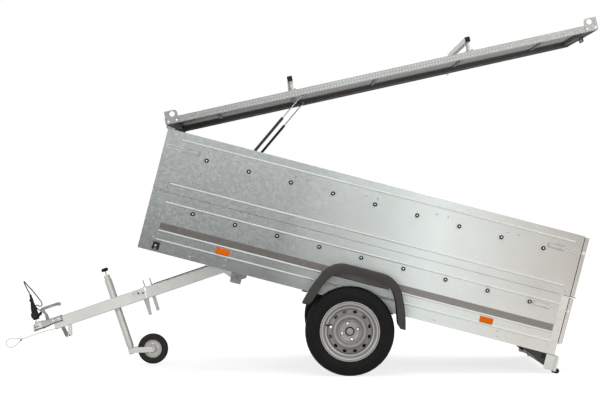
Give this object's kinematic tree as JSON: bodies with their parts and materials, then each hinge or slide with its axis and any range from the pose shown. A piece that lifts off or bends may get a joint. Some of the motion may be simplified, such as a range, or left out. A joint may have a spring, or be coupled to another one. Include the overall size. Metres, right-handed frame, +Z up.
{
  "type": "tipping box trailer with lid",
  "caption": "Single-axle tipping box trailer with a hinged lid on gas struts, roof bars, a sloping drawbar with ball coupling, and a jockey wheel; tipped back on its rear buffers.",
  "frame": {"origin": "on the ground, at the middle of the trailer's length and width without its free cords", "axes": "+X towards the rear, +Y towards the trailer's right side, +Z up"},
  "size_m": [3.7798, 1.67, 2.2185],
  "materials": {
    "galvanised_sheet": "satin",
    "galvanised_frame": "satin",
    "plywood": "satin",
    "zinc_plate": "satin",
    "checker_plate": "satin",
    "drawbar_zinc": "satin",
    "cast_steel": "satin",
    "fender_black": "matte",
    "black_plastic": "matte",
    "black_rubber": "matte",
    "tyre_rubber": "matte",
    "wheel_silver": "satin",
    "orange_lens": "gloss",
    "red_lens": "gloss",
    "black_paint": "satin",
    "steel_rope": "satin",
    "polished_rod": "gloss"
  },
  "bodies": {
    "box": {"side_lower_left": "galvanised_sheet", "side_upper_left": "galvanised_sheet", "side_lower_right": "galvanised_sheet", "side_upper_right": "galvanised_sheet", "front_lower_board": "galvanised_sheet", "rear_posts": "galvanised_frame", "floor": "plywood", "chassis": "galvanised_frame", "crossmembers": "galvanised_frame", "board_hinges": "zinc_plate", "pivot_bracket": "galvanised_frame", "lamp_board": "galvanised_frame", "buffers": "black_rubber", "tail_lamps": "red_lens", "plate_holder": "black_plastic", "fender_left": "fender_black", "fender_right": "fender_black", "axle_beam": "galvanised_frame", "axle_arms": "galvanised_frame", "rope_knobs": "black_plastic", "side_reflectors": "orange_lens", "marker_lamps": "black_plastic", "toggle_latches": "zinc_plate", "lid_hinges": "zinc_plate", "strut_brackets": "galvanised_frame"},
    "wheel_left": {"tyre_left": "tyre_rubber", "rim_left": "wheel_silver", "hub_left": "wheel_silver"},
    "wheel_right": {"tyre_right": "tyre_rubber", "rim_right": "wheel_silver", "hub_right": "wheel_silver"},
    "drawbar": {"drawbar": "drawbar_zinc", "coupling_head": "cast_steel", "coupling_handle": "zinc_plate", "latch_bracket": "zinc_plate", "tie_bolts": "zinc_plate", "lower_bracket": "zinc_plate", "drawbar_cable": "black_rubber", "jockey_clamp": "galvanised_frame", "plug": "black_plastic", "plug_cable": "black_rubber", "plug_holder": "zinc_plate", "safety_cable": "steel_rope"},
    "jockey_leg": {"jockey_tube": "zinc_plate", "jockey_crank": "black_plastic"},
    "jockey_fork": {"jockey_fork": "zinc_plate"},
    "jockey_wheel": {"jockey_hub": "zinc_plate", "jockey_tyre": "tyre_rubber"},
    "lid": {"lid": "checker_plate", "lid_frame": "galvanised_frame", "roof_bars": "zinc_plate", "roof_bar_caps": "black_plastic", "lid_eyelets": "zinc_plate"},
    "strut_cylinder_left": {"strut_cylinder_left": "black_paint"},
    "strut_rod_left": {"strut_rod_left": "polished_rod"},
    "strut_cylinder_right": {"strut_cylinder_right": "black_paint"},
    "strut_rod_right": {"strut_rod_right": "polished_rod"},
    "tailgate": {"tailgate": "galvanised_sheet"},
    "rear_board": {"rear_upper_board": "galvanised_sheet"},
    "front_board": {"front_upper_board": "galvanised_sheet"}
  },
  "joints": [
    {"name": "wheel_left_spin", "type": "hinge", "parent": "box", "child": "wheel_left", "pos_m": [0.2561, -0.7425, 0.2745], "axis": [0, 1, 0], "continuous": true},
    {"name": "wheel_right_spin", "type": "hinge", "parent": "box", "child": "wheel_right", "pos_m": [0.2561, 0.7425, 0.2745], "axis": [0, 1, 0], "continuous": true},
    {"name": "drawbar_tilt", "type": "hinge", "parent": "box", "child": "drawbar", "pos_m": [-0.4707, 0, 0.56321], "axis": [0, -1, 0], "range_deg": [-33.24, 0]},
    {"name": "jockey_slide", "type": "slide", "parent": "drawbar", "child": "jockey_leg", "axis": [-0.3206, 0, 0.9472], "range_m": [0, 0.2]},
    {"name": "jockey_swivel", "type": "hinge", "parent": "jockey_leg", "child": "jockey_fork", "pos_m": [-1.16079, 0.06, 0.09428], "axis": [-0.3206, 0, 0.9472], "continuous": true},
    {"name": "jockey_wheel_spin", "type": "hinge", "parent": "jockey_fork", "child": "jockey_wheel", "pos_m": [-1.01914, 0.06, 0.1], "axis": [0, 1, 0], "continuous": true},
    {"name": "lid_hinge", "type": "hinge", "parent": "box", "child": "lid", "pos_m": [-0.87014, 0, 1.53253], "axis": [0, -1, 0], "range_deg": [-27, 0]},
    {"name": "tailgate_hinge", "type": "hinge", "parent": "box", "child": "tailgate", "pos_m": [1.58701, 0, 0.17209], "axis": [0, -1, 0], "range_deg": [-175, 0]},
    {"name": "rear_board_hinge", "type": "hinge", "parent": "box", "child": "rear_board", "pos_m": [1.66408, 0, 0.46926], "axis": [0, 1, 0], "range_deg": [0, 175]},
    {"name": "front_board_hinge", "type": "hinge", "parent": "box", "child": "front_board", "pos_m": [-0.97558, 0, 1.15387], "axis": [0, -1, 0], "range_deg": [0, 175]},
    {"name": "strut_left_hinge", "type": "hinge", "parent": "box", "child": "strut_cylinder_left", "pos_m": [-0.35848, -0.585, 1.35437], "axis": [0, -1, 0], "range_deg": [-52.73, 0.5]},
    {"name": "strut_left_slide", "type": "slide", "parent": "strut_cylinder_left", "child": "strut_rod_left", "axis": [0.6438, 0, 0.7652], "range_m": [-0.1788, 0.002]},
    {"name": "strut_right_hinge", "type": "hinge", "parent": "box", "child": "strut_cylinder_right", "pos_m": [-0.35848, 0.585, 1.35437], "axis": [0, -1, 0], "range_deg": [-52.73, 0.5]},
    {"name": "strut_right_slide", "type": "slide", "parent": "strut_cylinder_right", "child": "strut_rod_right", "axis": [0.6438, 0, 0.7652], "range_m": [-0.1788, 0.002]}
  ],
  "couplings": [
    {"joint": "strut_left_hinge", "follows": "lid_hinge", "ratio": 1.9344},
    {"joint": "strut_left_slide", "follows": "lid_hinge", "m_per_rad": 0.37518},
    {"joint": "strut_right_hinge", "follows": "lid_hinge", "ratio": 1.9344},
    {"joint": "strut_right_slide", "follows": "lid_hinge", "m_per_rad": 0.37518}
  ]
}
